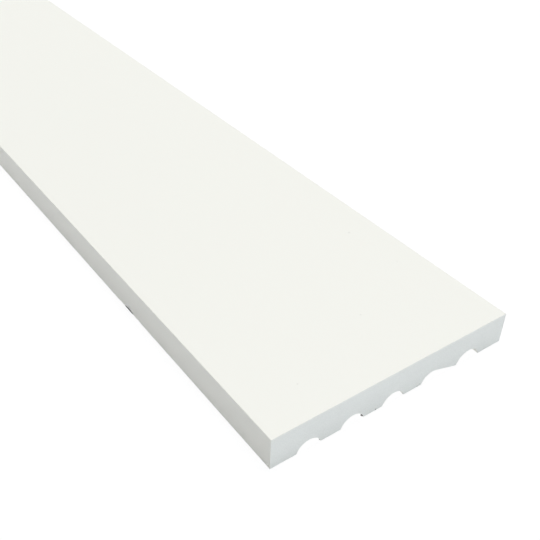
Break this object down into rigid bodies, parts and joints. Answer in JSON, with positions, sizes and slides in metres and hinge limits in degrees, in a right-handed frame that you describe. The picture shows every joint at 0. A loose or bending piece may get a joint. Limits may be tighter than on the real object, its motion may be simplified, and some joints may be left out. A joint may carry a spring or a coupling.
{
  "type": "trim board",
  "caption": "Flat white cellular PVC trim board with square sawn ends and rounded relief grooves along its back, for casings, fascias and corner trim.",
  "frame": {"origin": "middle of the board's length and width, on the plane of the lands of its grooved back, which it lies on", "axes": "+X across the width, +Y along the length, +Z out of the smooth face; looking along +Y the splayed groove is on the right, at +X"},
  "size_m": [0.1396, 2.4384, 0.0175],
  "materials": {
    "white_pvc": "satin extruded skin, off white; sawn ends show fine slightly bluish foam"
  },
  "bodies": {
    "root": {"trim_board": "white_pvc"}
  },
  "joints": []
}
